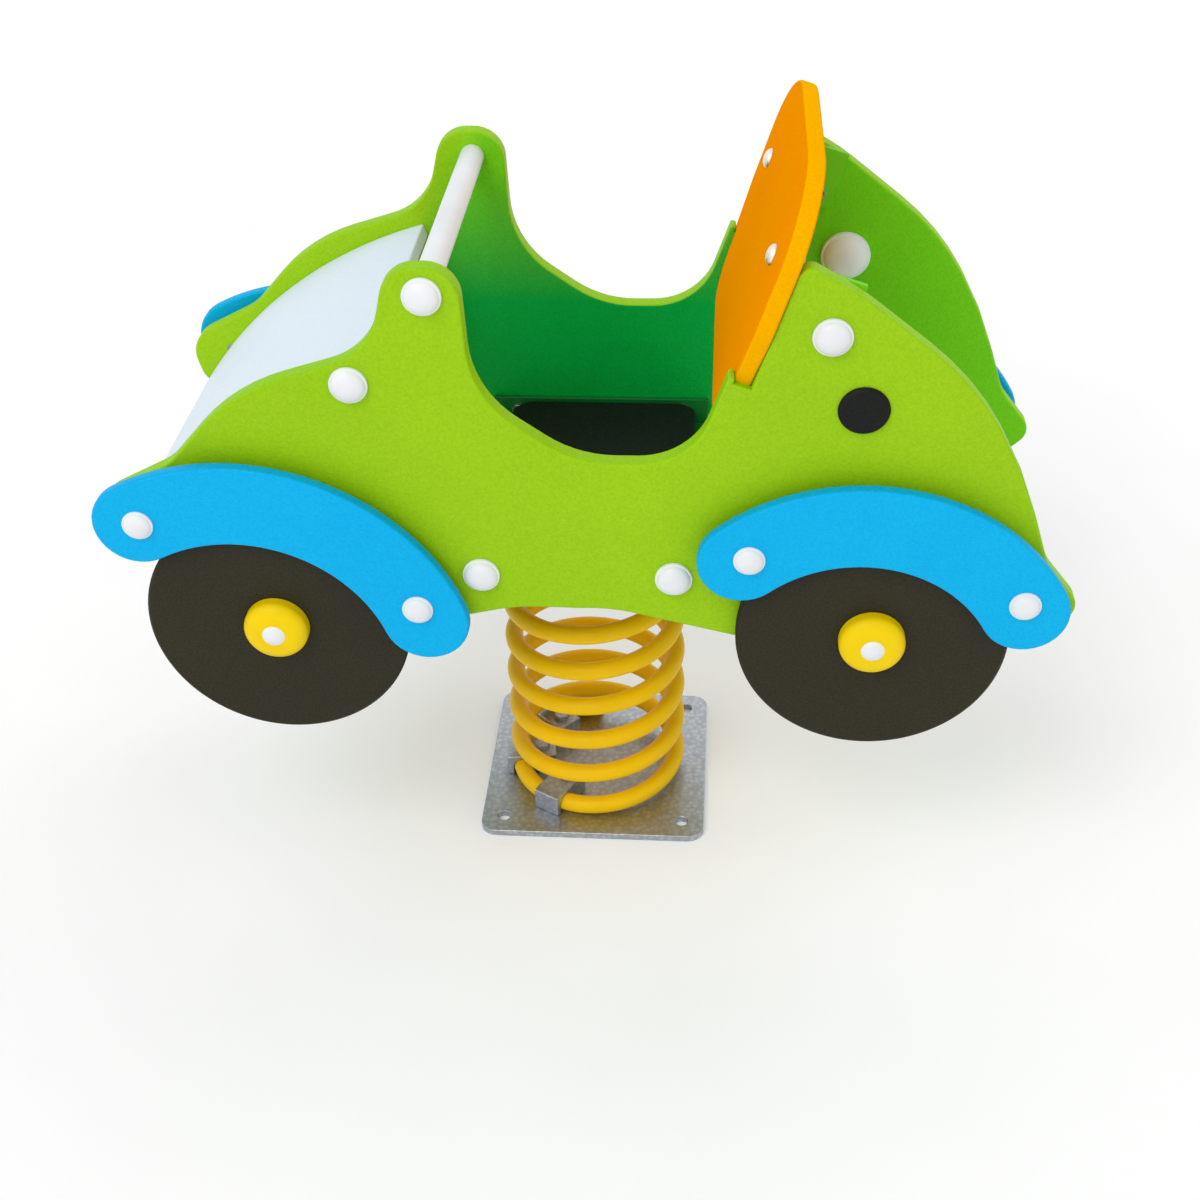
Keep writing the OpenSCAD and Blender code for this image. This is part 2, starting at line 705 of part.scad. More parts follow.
// A round bar along local X, from x0 to x1
module bar_x(d, x0, x1) {
    translate([x0, 0, 0]) rotate([0, 90, 0]) cylinder(d = d, h = x1 - x0);
}

module seat_back() {
    color([0.98, 0.63, 0.02]) on_seat_back() difference() {
        translate([-back_t, 0, 0]) rotate([90, 0, 90]) linear_extrude(back_t) back_outline();
        at_back_bolts() bar_x(bolt_d + 2 * gap, -back_t - over, over);
    }
}

module back_bracket() {
    y_in = inner_w / 2;
    color([0.30, 0.45, 0.16]) difference() {
        on_seat_back() difference() {
            translate([-back_t - bracket_leg, y_in - bracket_foot, bracket_z])
                cube([bracket_leg, bracket_foot, bracket_h]);
            translate([-back_t - bracket_leg - over, y_in - bracket_foot - over, bracket_z - over])
                cube([bracket_leg, bracket_foot, bracket_h + over]
                    + [over - bracket_t, over - bracket_t, over]);
            at_back_bolts() bar_x(bolt_d + 2 * gap, -back_t - bracket_leg - over, -back_t + over);
        }
        bar_y(bracket_bolt, bolt_d + 2 * gap, y_in - bracket_foot, y_in + over);
    }
}

module left_back_bracket() {
    back_bracket();
}

module right_back_bracket() {
    mirror([0, 1, 0]) back_bracket();
}

// Round-headed bolts from the front of the seat back, with nuts on the brackets
module back_bolts() {
    head_d = round_head_share * bolt_d;
    head_h = (head_d - bolt_d) / 2;
    dome = [for (i = [0:dome_steps])
        [head_d / 2 * cos(90 * i / dome_steps), head_h * sin(90 * i / dome_steps)]];
    nut_h = nut_h_share * bolt_d;
    color("gainsboro") on_seat_back() at_back_bolts() translate([gap, 0, 0]) {
        rotate([0, 90, 0]) rotate_extrude() polygon(concat([[0, 0]], dome));
        bar_x(bolt_d, -back_t - bracket_t - nut_h, 0);
    }
}

module back_nuts() {
    nut_h = nut_h_share * bolt_d;
    x0 = -back_t - bracket_t - nut_h;
    color("gainsboro") on_seat_back() at_back_bolts() difference() {
        translate([x0, 0, 0]) rotate([0, 90, 0]) cylinder(d = head_d_share * bolt_d, h = nut_h, $fn = 6);
        bar_x(bolt_d + 2 * gap, x0 - over, x0 + nut_h + over);
    }
}

// Tube between the panels, with a bored plug welded in each end
module cross_bar(at, d, wall, tap_d) {
    half = inner_w / 2;
    difference() {
        bar_y(at, d, -half, half);
        bar_y(at, d - 2 * wall, plug_h - half, half - plug_h);
        bar_y(at, tap_d + 2 * gap, -half - over, half + over);
    }
}

module handle_bar() {
    color("white") cross_bar(handle, handle_d, handle_wall, bolt_d);
}

module front_cross_tube() {
    color("silver") cross_bar(front_wheel, cross_d, cross_wall, big_bolt_d);
}

module rear_cross_tube() {
    color("silver") cross_bar(rear_wheel, cross_d, cross_wall, big_bolt_d);
}

// Wheels, hubs and fenders stand on the panel's outer face
wheel_y = body_w / 2;
hub_y = wheel_y + wheel_t;
fender_y = wheel_y + wheel_t;
hub_bore_d = head_d_share * big_bolt_d + 2 * gap;
hub_head_z = hub_h - head_h_share * big_bolt_d - gap;

module wheel(at) {
    r = wheel_d / 2;
    color([0.23, 0.20, 0.17]) difference() {
        turned_y(at, wheel_y, [[0, 0], [r - wheel_edge, 0], [r, wheel_edge],
            [r, wheel_t - wheel_edge], [r - wheel_edge, wheel_t], [0, wheel_t]]);
        bar_y(at, big_bolt_d + 2 * gap, wheel_y - over, hub_y + over);
    }
}

// Domed hub with a counterbore for the wheel bolt's head
module hub(at) {
    face_r = hub_face_d / 2;
    rise = hub_h - hub_foot_h;
    dome = [for (i = [0:dome_steps]) [face_r + (hub_d / 2 - face_r) * cos(90 * i / dome_steps),
        hub_foot_h + rise * sin(90 * i / dome_steps)]];
    color([0.98, 0.79, 0.05]) difference() {
        turned_y(at, hub_y, concat([[0, 0], [hub_d / 2, 0]], dome, [[0, hub_h]]));
        bar_y(at, big_bolt_d + 2 * gap, hub_y - over, hub_y + hub_h + over);
        bar_y(at, hub_bore_d, hub_y + hub_head_z, hub_y + hub_h + over);
    }
}

module wheel_bolts() {
    y_head = hub_y + hub_head_z;
    color("gainsboro") both_sides() for (at = wheels)
        bolt_in(at, big_bolt_d, y_head, y_head - inner_w / 2 + plug_h - end_gap);
}

// White caps over the wheel bolts: rim on the flat front of the hubs, and height
hub_cap_rim = 2;
hub_cap_h = 5;
hub_cap_d = hub_bore_d + 2 * hub_cap_rim;

module hub_caps() {
    ball_r = (hub_cap_d * hub_cap_d / 4 + hub_cap_h * hub_cap_h) / (2 * hub_cap_h);
    y0 = hub_y + hub_h;
    color("white") both_sides() for (at = wheels) intersection() {
        translate([at[0], y0 + hub_cap_h - ball_r, at[1]]) sphere(r = ball_r);
        bar_y(at, hub_cap_d, y0, y0 + hub_cap_h);
    }
}

// Fender: a ring's arc with round ends; number of steps along the arc and round an end
fender_steps = 36;
end_steps = 18;

// Points of a ring's edge from one angle to another
function along(r, from, to) = [for (i = [0:fender_steps])
    on_circle(r, from + (to - from) * i / fender_steps)];
// Points inside a half circle at the end of the ring, on from its outer or its inner edge
function round_end(r, w, at, from) = [for (i = [1:end_steps - 1])
    on_circle(r, at) + on_circle(w / 2, from + 180 * i / end_steps)];

module fender_outline(i) {
    r = fender_rs[i];
    w = fender_ws[i];
    first = fender_ends[i][0];
    last = fender_ends[i][1];
    polygon(concat(along(r + w / 2, first, last), round_end(r, w, last, last),
        along(r - w / 2, last, first), round_end(r, w, first, first + 180)));
}

module fender(i) {
    mid = fender_mids[i];
    color([0, 0.71, 0.95]) difference() {
        standing(fender_y, fender_t) translate(mid) fender_outline(i);
        for (e = [0, 1])
            bar_y(fender_bolt_at[2 * i + e], bolt_d + 2 * gap, fender_y - over, fender_y + fender_t + over);
    }
}

module fender_spacers() {
    color("dimgray") both_sides() for (at = fender_bolt_at) difference() {
        bar_y(at, spacer_d, wheel_y, fender_y);
        bar_y(at, bolt_d + 2 * gap, wheel_y - over, fender_y + over);
    }
}

module fender_bolts() {
    y_head = fender_y + fender_t;
    color("gainsboro") both_sides() for (at = fender_bolt_at)
        bolt_in(at, bolt_d, y_head, y_head - inner_w / 2 - end_gap);
}

module fender_sleeve_nuts() {
    y0 = inner_w / 2;
    color("gainsboro") both_sides() for (at = fender_bolt_at) difference() {
        bar_y(at, sleeve_d, y0, y0 + sleeve_h);
        bar_y(at, bolt_d + 2 * gap, y0 - over, y0 + sleeve_h + over);
    }
}

module fender_bolt_caps() {
    color("white") both_sides() for (at = fender_bolt_at)
        bolt_cap(at, fender_y + fender_t, small_cap_d, small_cap_h, bolt_d);
}

// Bolts through the panels into the carrier, brackets, handle and bonnet
module panel_bolts() {
    color("gainsboro") both_sides() {
        for (i = [0:len(through_at) - 1])
            bolt_in(through_at[i], bolt_d, body_w / 2, panel_t + through_t[i] + nut_h_share * bolt_d);
        bolt_in(handle, bolt_d, body_w / 2, panel_t + plug_h - end_gap);
        bolt_in(bonnet_bolt, bolt_d, body_w / 2, panel_t + bonnet_tap_h - end_gap);
    }
}

module panel_nuts() {
    color("gainsboro") both_sides() for (i = [0:len(through_at) - 1])
        nut_y(through_at[i], bolt_d, inner_w / 2 - through_t[i] - nut_h_share * bolt_d);
}

module panel_bolt_caps() {
    color("white") both_sides() for (at = concat(through_at, tapped_at))
        bolt_cap(at, body_w / 2, cap_d, cap_h, bolt_d);
}

// Round black cover on the outer face, held by a bolt from inside; bevel of its edge
cover_edge = 3;
cover_tap_h = cover_t - 2 * end_gap;

module round_cover() {
    r = cover_d / 2;
    color([0.11, 0.11, 0.11]) difference() {
        turned_y(cover, body_w / 2, [[0, 0], [r, 0], [r, cover_t - cover_edge],
            [r - cover_edge, cover_t], [0, cover_t]]);
        bar_y(cover, bolt_d + 2 * gap, body_w / 2 - over, body_w / 2 + cover_tap_h);
    }
}

module left_round_cover() {
    round_cover();
}

module right_round_cover() {
    mirror([0, 1, 0]) round_cover();
}

module cover_bolts() {
    head_h = head_h_share * bolt_d;
    color("gainsboro") both_sides() {
        hex_y(cover, head_d_share * bolt_d, inner_w / 2 - head_h, head_h);
        bar_y(cover, bolt_d, inner_w / 2, body_w / 2 + cover_tap_h - end_gap);
    }
}

module inner_domes() {
    color("white") both_sides() translate([0, inner_w, 0]) mirror([0, 1, 0])
        bolt_cap(cover, inner_w / 2, dome_d, dome_h, bolt_d);
}

module front_left_wheel() { wheel(front_wheel); }
module front_right_wheel() { mirror([0, 1, 0]) wheel(front_wheel); }
module rear_left_wheel() { wheel(rear_wheel); }
module rear_right_wheel() { mirror([0, 1, 0]) wheel(rear_wheel); }
module front_left_hub() { hub(front_wheel); }
module front_right_hub() { mirror([0, 1, 0]) hub(front_wheel); }
module rear_left_hub() { hub(rear_wheel); }
module rear_right_hub() { mirror([0, 1, 0]) hub(rear_wheel); }
module front_left_fender() { fender(0); }
module front_right_fender() { mirror([0, 1, 0]) fender(0); }
module rear_left_fender() { fender(1); }
module rear_right_fender() { mirror([0, 1, 0]) fender(1); }

base_plate();
lower_spring_clamps();
lower_clamp_bolts();
spring();
upper_spring_plate();
upper_spring_clamps();
upper_clamp_bolts();
carrier();
carrier_bolts();
carrier_nuts();
seat_bearers();
seat();
seat_screws();
left_side_panel();
right_side_panel();
bonnet();
bonnet_screws();
seat_back();
left_back_bracket();
right_back_bracket();
back_bolts();
back_nuts();
handle_bar();
front_cross_tube();
rear_cross_tube();
front_left_wheel();
front_right_wheel();
rear_left_wheel();
rear_right_wheel();
front_left_hub();
front_right_hub();
rear_left_hub();
rear_right_hub();
front_left_fender();
front_right_fender();
rear_left_fender();
rear_right_fender();
fender_spacers();
fender_bolts();
fender_sleeve_nuts();
fender_bolt_caps();
wheel_bolts();
hub_caps();
panel_bolts();
panel_nuts();
panel_bolt_caps();
left_round_cover();
right_round_cover();
cover_bolts();
inner_domes();
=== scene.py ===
import json
import math

import bmesh
import bpy
from mathutils import Matrix, Vector


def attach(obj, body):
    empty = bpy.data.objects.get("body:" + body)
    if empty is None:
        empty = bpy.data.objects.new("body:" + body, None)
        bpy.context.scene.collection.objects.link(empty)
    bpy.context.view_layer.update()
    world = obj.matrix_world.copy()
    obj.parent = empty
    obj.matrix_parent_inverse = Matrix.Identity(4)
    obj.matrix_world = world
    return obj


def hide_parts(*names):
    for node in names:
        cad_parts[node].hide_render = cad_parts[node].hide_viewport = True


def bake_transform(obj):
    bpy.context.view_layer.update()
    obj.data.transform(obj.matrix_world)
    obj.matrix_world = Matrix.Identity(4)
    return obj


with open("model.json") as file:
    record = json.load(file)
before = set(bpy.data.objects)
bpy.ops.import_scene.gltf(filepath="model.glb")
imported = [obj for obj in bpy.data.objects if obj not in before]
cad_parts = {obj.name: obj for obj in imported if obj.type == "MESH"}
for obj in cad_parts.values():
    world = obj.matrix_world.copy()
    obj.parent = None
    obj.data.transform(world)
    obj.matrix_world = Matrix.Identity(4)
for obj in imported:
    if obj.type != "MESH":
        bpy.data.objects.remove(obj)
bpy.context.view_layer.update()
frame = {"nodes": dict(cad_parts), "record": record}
nodes = frame["nodes"]

# Metres throughout, with +X forward, +Y to the car's left and +Z up
SIDES = ("left", "right")
WHEELS = [f"{end}_{side}" for end in ("front", "rear") for side in SIDES]
SLOTS = {row["node"]: row["material_slot"] for row in frame["record"]["subparts"]}


def add_object(name, data):
    """A new object in the scene, around a mesh, a light or a camera."""
    obj = bpy.data.objects.new(name, data)
    bpy.context.scene.collection.objects.link(obj)
    return obj


def dress(obj, material):
    """Gives an object one material all over."""
    obj.data.materials.clear()
    obj.data.materials.append(material)


# Materials

WHITE = (1, 1, 1, 1)
BLACK = (0, 0, 0, 1)

# Where the colour sockets stand among all the sockets of a Mix node
MIX_SHARE, MIX_FIRST, MIX_SECOND, MIX_RESULT = 0, 6, 7, 2

# Most values of a noise texture lie in this span
NOISE_SPAN = (0.3, 0.7)


def srgb(red, green, blue):
    """Linear colour from the 0 to 255 values that a screen shows."""
    def linear(value):
        value /= 255
        return value / 12.92 if value <= 0.04045 else ((value + 0.055) / 1.055) ** 2.4
    return (linear(red), linear(green), linear(blue), 1.0)


class Look:
    """A node material, with short calls for the nodes that the looks share."""

    def __init__(self, name, roughness, metallic=0.0):
        self.material = bpy.data.materials.new(name)
        self.material.use_nodes = True
        self.tree = self.material.node_tree
        self.shader = self.tree.nodes["Principled BSDF"]
        self.coords = self.tree.nodes.new("ShaderNodeTexCoord")
        self.place = self.coords.outputs["Object"]
        self.roughness = roughness
        self.set("Roughness", roughness)
        self.set("Metallic", metallic)

    def feed(self, socket, value):
        """Links a node's output to a socket, or sets a plain value on it."""
        if isinstance(value, bpy.types.NodeSocket):
            self.tree.links.new(value, socket)
        else:
            socket.default_value = value

    def set(self, name, value):
        """Feeds one of the shader's own sockets."""
        self.feed(self.shader.inputs[name], value)

    def node(self, kind, **inputs):
        """A new node, with its inputs fed by name, where _ stands for a space."""
        made = self.tree.nodes.new(kind)
        for name, value in inputs.items():
            self.feed(made.inputs[name.replace("_", " ")], value)
        return made

    def math(self, operation, *values):
        """Result of a Math node on up to three values."""
        made = self.tree.nodes.new("ShaderNodeMath")
        made.operation = operation
        for socket, value in zip(made.inputs, values):
            self.feed(socket, value)
        return made.outputs["Value"]

    def stretched(self, scale):
        """Places on the part, scaled by its own factor along each axis."""
        return self.node("ShaderNodeMapping", Vector=self.place, Scale=scale).outputs["Vector"]

    def noise(self, scale, detail=2.0, rough=0.5, place=None):
        made = self.node("ShaderNodeTexNoise", Vector=place or self.place, Scale=scale,
                         Detail=detail, Roughness=rough)
        return made.outputs["Fac"]

    def ramp(self, source, low, high, start=0.0, end=1.0):
        """Turns the span from low to high into the one from start to end."""
        made = self.node("ShaderNodeMapRange", Value=source, From_Min=low, From_Max=high,
                         To_Min=start, To_Max=end)
        return made.outputs["Result"]

    def mix(self, share, first, second, blend="MIX"):
        """The first colour, with a share of the second laid over it."""
        made = self.tree.nodes.new("ShaderNodeMix")
        made.data_type = "RGBA"
        made.blend_type = blend
        for index, value in ((MIX_SHARE, share), (MIX_FIRST, first), (MIX_SECOND, second)):
            self.feed(made.inputs[index], value)
        return made.outputs[MIX_RESULT]

    def bump(self, *layers):
        """Relief from rows of height, strength and distance, each on top of the one before."""
        relief = None
        for height, strength, distance in layers:
            made = self.node("ShaderNodeBump", Height=height, Strength=strength, Distance=distance)
            if relief is not None:
                self.feed(made.inputs["Normal"], relief)
            relief = made.outputs["Normal"]
        self.set("Normal", relief)

    def vary_roughness(self, source, below, above):
        """Lets a noise take the roughness some way below and above the look's own."""
        span = (self.roughness - below, self.roughness + above)
        self.set("Roughness", self.ramp(source, *NOISE_SPAN, *span))

    def direction(self, axis):
        """How far the surface looks along an axis of the part, from -1 to 1."""
        parts = self.node("ShaderNodeSeparateXYZ", Vector=self.coords.outputs["Normal"])
        return parts.outputs[axis]


LIME = srgb(160, 209, 20)
LIME_EDGE = srgb(150, 206, 5)
# Painted shade on the panels' inner faces: deep green where shade falls in the leg space, a lighter green
# where less falls
INNER_DEEP_PAINTED_SHADE = srgb(5, 180, 72)
INNER_LIGHT_PAINTED_SHADE = srgb(119, 213, 22)

# Where the painted shade on the inner faces turns from deep to light green: up the ears, and behind the
# seat back;
# and where it gives way to lime: in front of a line that leans back as it climbs
INNER_HEIGHTS = (0.522, 0.675)
INNER_BEHIND = (-0.12, -0.24)
INNER_FRONT = (0.39, 0.44)
FRONT_LEAN = 0.4


def inner_painted_shade(look):
    """Inner face of a panel with painted shade: deep green in the leg space, lighter on the ears and the
    hump.
    """
    place = look.node("ShaderNodeSeparateXYZ", Vector=look.place)
    height, forward = place.outputs["Z"], place.outputs["X"]
    lighter = look.math("MAXIMUM", look.ramp(height, *INNER_HEIGHTS), look.ramp(forward, *INNER_BEHIND))
    green = look.mix(lighter, INNER_DEEP_PAINTED_SHADE, INNER_LIGHT_PAINTED_SHADE)
    past_line = look.math("MULTIPLY_ADD", height, FRONT_LEAN, forward)
    return look.mix(look.ramp(past_line, *INNER_FRONT), green, LIME)


# Each bump below is a strength and a distance, and each share is the most that a noise lays on
SHEET_ROUGHNESS = 0.5
SHEET_GLOSS = 0.12
FACE_LIMITS = (0.70, 0.85)
GRAIN_SCALE = 430.0
GRAIN_SPAN = (0.38, 0.66)
GRAIN_SHARE = 0.26
GRAIN_BUMP = (0.5, 0.0009)
MOTTLE_SCALE = 7.0
MOTTLE_SHARE = 0.14
SCUFF_SCALE = 11.0
SCUFF_STRETCH = (9.0, 9.0, 130.0)
SCUFF_SPAN = (0.64, 0.78)
SCUFF_SHARE = 0.10
TOOL_MARK_STRETCH = (900.0, 25.0, 900.0)
TOOL_MARK_BUMP = (0.05, 0.0004)


def sheet_look(name, face, edge, axis="Y", outer_sign=0.0, gloss=SHEET_GLOSS):
    """Grained polyethylene sheet, with another tone on its edges, tool marks and faint scuffs.

    Its faces look along the axis. Where outer_sign tells which of a panel's faces is the outer
    one, the other face gets the inner faces' green with its painted shade."""
    look = Look(name, SHEET_ROUGHNESS)
    look.set("Specular IOR Level", gloss)
    grain = look.noise(GRAIN_SCALE, detail=3.0, rough=0.6)
    mottle = look.noise(MOTTLE_SCALE, detail=3.0)
    scuffs = look.noise(SCUFF_SCALE, detail=6.0, rough=0.75, place=look.stretched(SCUFF_STRETCH))
    tool_marks = look.noise(1.0, place=look.stretched(TOOL_MARK_STRETCH))
    direction = look.direction(axis)
    on_face = look.ramp(look.math("ABSOLUTE", direction), *FACE_LIMITS)
    colour = look.mix(on_face, edge, face)
    if outer_sign:
        # The inner face takes the green with painted shade
        inwards = look.math("MULTIPLY", direction, -outer_sign)
        colour = look.mix(look.ramp(inwards, *FACE_LIMITS), colour, inner_painted_shade(look))
    colour = look.mix(look.ramp(mottle, *NOISE_SPAN, 0.0, MOTTLE_SHARE), colour, WHITE, "SOFT_LIGHT")
    colour = look.mix(look.ramp(grain, *GRAIN_SPAN, 0.0, GRAIN_SHARE), colour, BLACK, "SOFT_LIGHT")
    colour = look.mix(look.ramp(scuffs, *SCUFF_SPAN, 0.0, SCUFF_SHARE), colour, WHITE)
    look.set("Base Color", colour)
    look.vary_roughness(grain, below=0.08, above=0.08)
    look.bump((grain, *GRAIN_BUMP), (tool_marks, *TOOL_MARK_BUMP))
    return look.material


MOULDED_GLOSS = 0.35
MOULD_CLOUD_SCALE = 28.0
MOULD_CLOUD_SPAN = (0.35, 0.7)
MOULD_CLOUD_TONE = 0.93
SPARK_SCALE = 1500.0
SPARK_BUMP = (0.08, 0.0002)


def moulded_look(name, colour, roughness, gloss=MOULDED_GLOSS):
    """Moulded plastic with a fine sparked skin."""
    look = Look(name, roughness)
    look.set("Specular IOR Level", gloss)
    spark = look.noise(SPARK_SCALE)
    cloud = look.noise(MOULD_CLOUD_SCALE, detail=3.0)
    darker = [MOULD_CLOUD_TONE * channel for channel in colour[:3]] + [1.0]
    look.set("Base Color", look.mix(look.ramp(cloud, *MOULD_CLOUD_SPAN), darker, colour))
    look.vary_roughness(cloud, below=0.06, above=0.08)
    look.bump((spark, *SPARK_BUMP))
    return look.material


COATED_GLOSS = 0.25
COAT_WEIGHT = 0.12
COAT_ROUGHNESS = 0.25
PEEL_SCALE = 430.0
PEEL_BUMP = (0.12, 0.0006)
COAT_CLOUD_SCALE = 14.0
COAT_CLOUD_SHARE = 0.10
SPECK_SCALE = 260.0
SPECK_SPAN = (0.70, 0.78)
SPECK_SHARE = 0.10


def coated_look(name, colour, roughness, gloss=COATED_GLOSS, coat=COAT_WEIGHT):
    """Powder coat on steel: orange peel, soft gloss, a few dark specks.

    Without a colour it takes the panels' inner-face green with its painted shade."""
    look = Look(name, roughness)
    look.set("Specular IOR Level", gloss)
    look.set("Coat Weight", coat)
    look.set("Coat Roughness", COAT_ROUGHNESS)
    peel = look.noise(PEEL_SCALE, detail=1.5)
    cloud = look.noise(COAT_CLOUD_SCALE, detail=4.0, rough=0.6)
    specks = look.noise(SPECK_SCALE, detail=4.0, rough=0.8)
    # Without a colour: the inner-face green with painted shade
    tint = colour or inner_painted_shade(look)
    tint = look.mix(look.ramp(cloud, *NOISE_SPAN, COAT_CLOUD_SHARE, 0.0), tint, BLACK)
    tint = look.mix(look.ramp(specks, *SPECK_SPAN, 0.0, SPECK_SHARE), tint, BLACK)
    look.set("Base Color", tint)
    look.vary_roughness(cloud, below=0.05, above=0.10)
    look.bump((peel, *PEEL_BUMP))
    return look.material


METAL_ROUGHNESS = 0.42
SPANGLE_SCALE = 170.0
SPANGLE_SPAN = (0.0, 0.7)
BRUSH_STRETCH = (700.0, 60.0, 700.0)
BRUSH_BUMP = (0.06, 0.0003)


def metal_look(name, light, dark):
    """Bare or plated steel: a faint spangle and brushing."""
    look = Look(name, METAL_ROUGHNESS, metallic=1.0)
    spangle = look.node("ShaderNodeTexVoronoi", Vector=look.place, Scale=SPANGLE_SCALE)
    brushing = look.noise(1.0, detail=3.0, place=look.stretched(BRUSH_STRETCH))
    look.set("Base Color", look.mix(look.ramp(spangle.outputs["Distance"], *SPANGLE_SPAN), light, dark))
    look.vary_roughness(brushing, below=0.08, above=0.10)
    look.bump((brushing, *BRUSH_BUMP))
    return look.material


# The look of each material slot, and of the nodes that have one of their own
SLOT_LOOKS = {
    "bonnet_grey": sheet_look("bonnet_sheet", srgb(214, 231, 249), srgb(226, 238, 248)),
    "back_orange": sheet_look("back_sheet", srgb(255, 157, 0), srgb(255, 183, 0), axis="X", gloss=0.0),
    "fender_blue": sheet_look("fender_sheet", srgb(0, 184, 242), srgb(0, 174, 232)),
    "wheel_brown": sheet_look("wheel_sheet", srgb(52, 48, 35), srgb(42, 38, 29)),
    "seat_black": sheet_look("seat_sheet", srgb(23, 26, 24), srgb(26, 28, 26), axis="Z"),
    "hub_yellow": moulded_look("hub_plastic", srgb(255, 218, 0), roughness=0.42, gloss=0.15),
    "cap_white": moulded_look("cap_plastic", srgb(244, 246, 249), roughness=0.35),
    "spacer_grey": moulded_look("spacer_plastic", srgb(80, 82, 84), roughness=0.5),
    "spring_yellow": coated_look("spring_coat", srgb(255, 203, 0), roughness=0.40, gloss=0.12, coat=0.06),
    "handle_white": coated_look("handle_coat", srgb(236, 240, 243), roughness=0.36),
    # The brackets take the inner-face green with its painted shade
    "bracket_green": coated_look("bracket_painted_shade_coat", None, roughness=0.5),
    "galvanised": metal_look("zinc_plate", srgb(196, 199, 203), srgb(166, 170, 176)),
}
NODE_LOOKS = {
    "left_side_panel": sheet_look("left_panel_sheet", LIME, LIME_EDGE, outer_sign=1.0),
    "right_side_panel": sheet_look("right_panel_sheet", LIME, LIME_EDGE, outer_sign=-1.0),
    "back_bolts": metal_look("bright_steel", srgb(248, 243, 234), srgb(236, 230, 220)),
    "seat_screws": metal_look("black_steel", srgb(58, 60, 60), srgb(42, 44, 44)),
    # The carrier's green is the inner wall's tone in shade: painted shade that keeps its lit top edges as
    # dark as the wall
    "carrier": coated_look("carrier_painted_shade_coat", srgb(8, 118, 44), roughness=0.55),
}

for name, slot in SLOTS.items():
    if slot in SLOT_LOOKS:
        dress(nodes[name], SLOT_LOOKS[slot])
for name, material in NODE_LOOKS.items():
    dress(nodes[name], material)


# Rounded edges on the CAD solids

WELD_DISTANCE = 0.00002
SHARP_ANGLE = math.radians(28)
FLAT_ANGLE = math.radians(0.3)
ROUNDING_SEGMENTS = 3
SHADING_WEIGHT = 80

# The bonnet's sides are arched bands, which don't hold as single faces
UNMERGED = {"bonnet"}

ROUNDING = {
    "bonnet": 0.002,
    "handle_bar": 0.001,
    "base_plate": 0.001,
    "upper_spring_plate": 0.001,
    "carrier": 0.001,
    "seat_bearers": 0.001,
    "inner_domes": 0.001,
    "lower_spring_clamps": 0.0015,
    "upper_spring_clamps": 0.0015,
    "lower_clamp_bolts": 0.0006,
    "upper_clamp_bolts": 0.0006,
    "panel_bolt_caps": 0.0008,
    "fender_bolt_caps": 0.0006,
    "fender_spacers": 0.0006,
    "panel_nuts": 0.0005,
    "carrier_nuts": 0.0005,
    "back_nuts": 0.0005,
}
for side in SIDES:
    ROUNDING[f"{side}_round_cover"] = 0.0009
    ROUNDING[f"{side}_back_bracket"] = 0.0008
for wheel in WHEELS:
    ROUNDING[f"{wheel}_wheel"] = 0.0012
    ROUNDING[f"{wheel}_hub"] = 0.0008


def even_shading(obj):
    """Lets the large faces set the shading next to rounded edges."""
    even = obj.modifiers.new("shading", "WEIGHTED_NORMAL")
    even.keep_sharp = True
    even.weight = SHADING_WEIGHT


def round_edges(name, width):
    """Welds a node's faces, rounds its sharp edges and evens out the shading."""
    obj = nodes[name]
    weld = obj.modifiers.new("weld", "WELD")
    weld.merge_threshold = WELD_DISTANCE
    if name not in UNMERGED:
        flat = obj.modifiers.new("flat_faces", "DECIMATE")
        flat.decimate_type = "DISSOLVE"
        flat.angle_limit = FLAT_ANGLE
    bevel = obj.modifiers.new("rounding", "BEVEL")
    bevel.width = width
    bevel.segments = ROUNDING_SEGMENTS
    bevel.limit_method = "ANGLE"
    bevel.angle_limit = SHARP_ANGLE
    bevel.use_clamp_overlap = False
    bevel.miter_outer = "MITER_ARC"
    even_shading(obj)


for name, width in ROUNDING.items():
    round_edges(name, width)


# Sheets: the flat solids again, each with its rim rounded off all round

ROUND_STEPS = 4
ON_FLAT = 0.00002
ALIGNED = 0.999

SHEETS = {"seat": 0.003, "seat_back": 0.003, "left_side_panel": 0.0025, "right_side_panel": 0.0025}
for wheel in WHEELS:
    SHEETS[f"{wheel}_fender"] = 0.0028


def finished_mesh(mesh, name):
    """An object from a bmesh, smooth but for its sharp edges."""
    bmesh.ops.recalc_face_normals(mesh, faces=mesh.faces)
    for face in mesh.faces:
        face.smooth = True
    for edge in mesh.edges:
        edge.smooth = not edge.is_manifold or edge.calc_face_angle() < SHARP_ANGLE
    data = bpy.data.meshes.new(name)
    mesh.to_mesh(data)
    mesh.free()
    return add_object(name, data)


def flat_loops(solid, out, level):
    """Faces of a solid's flat side, and the loops of corners round it, in order."""
    faces = [f for f in solid.faces
             if f.normal.dot(out) > ALIGNED and abs(f.verts[0].co.dot(out) - level) < ON_FLAT]
    flat = set(faces)
    follows = {}
    for face in faces:
        for corner in face.loops:
            if sum(f in flat for f in corner.edge.link_faces) == 1:
                follows[corner.vert] = corner.link_loop_next.vert
    loops = []
    while follows:
        first, after = follows.popitem()
        loop = [first]
        while after is not first:
            loop.append(after)
            after = follows.pop(after)
        loops.append(loop)
    return faces, loops


def loop_area(points):
    """Area inside a loop of flat points, negative where they run clockwise."""
    return sum(a.x * b.y - b.x * a.y for a, b in zip(points, points[1:] + points[:1])) / 2


def loop_edges(solid, loop):
    """The edges along a loop of corners, made where they are missing."""
    return [solid.edges.get((a, b)) or solid.edges.new((a, b))
            for a, b in zip(loop, loop[1:] + loop[:1])]


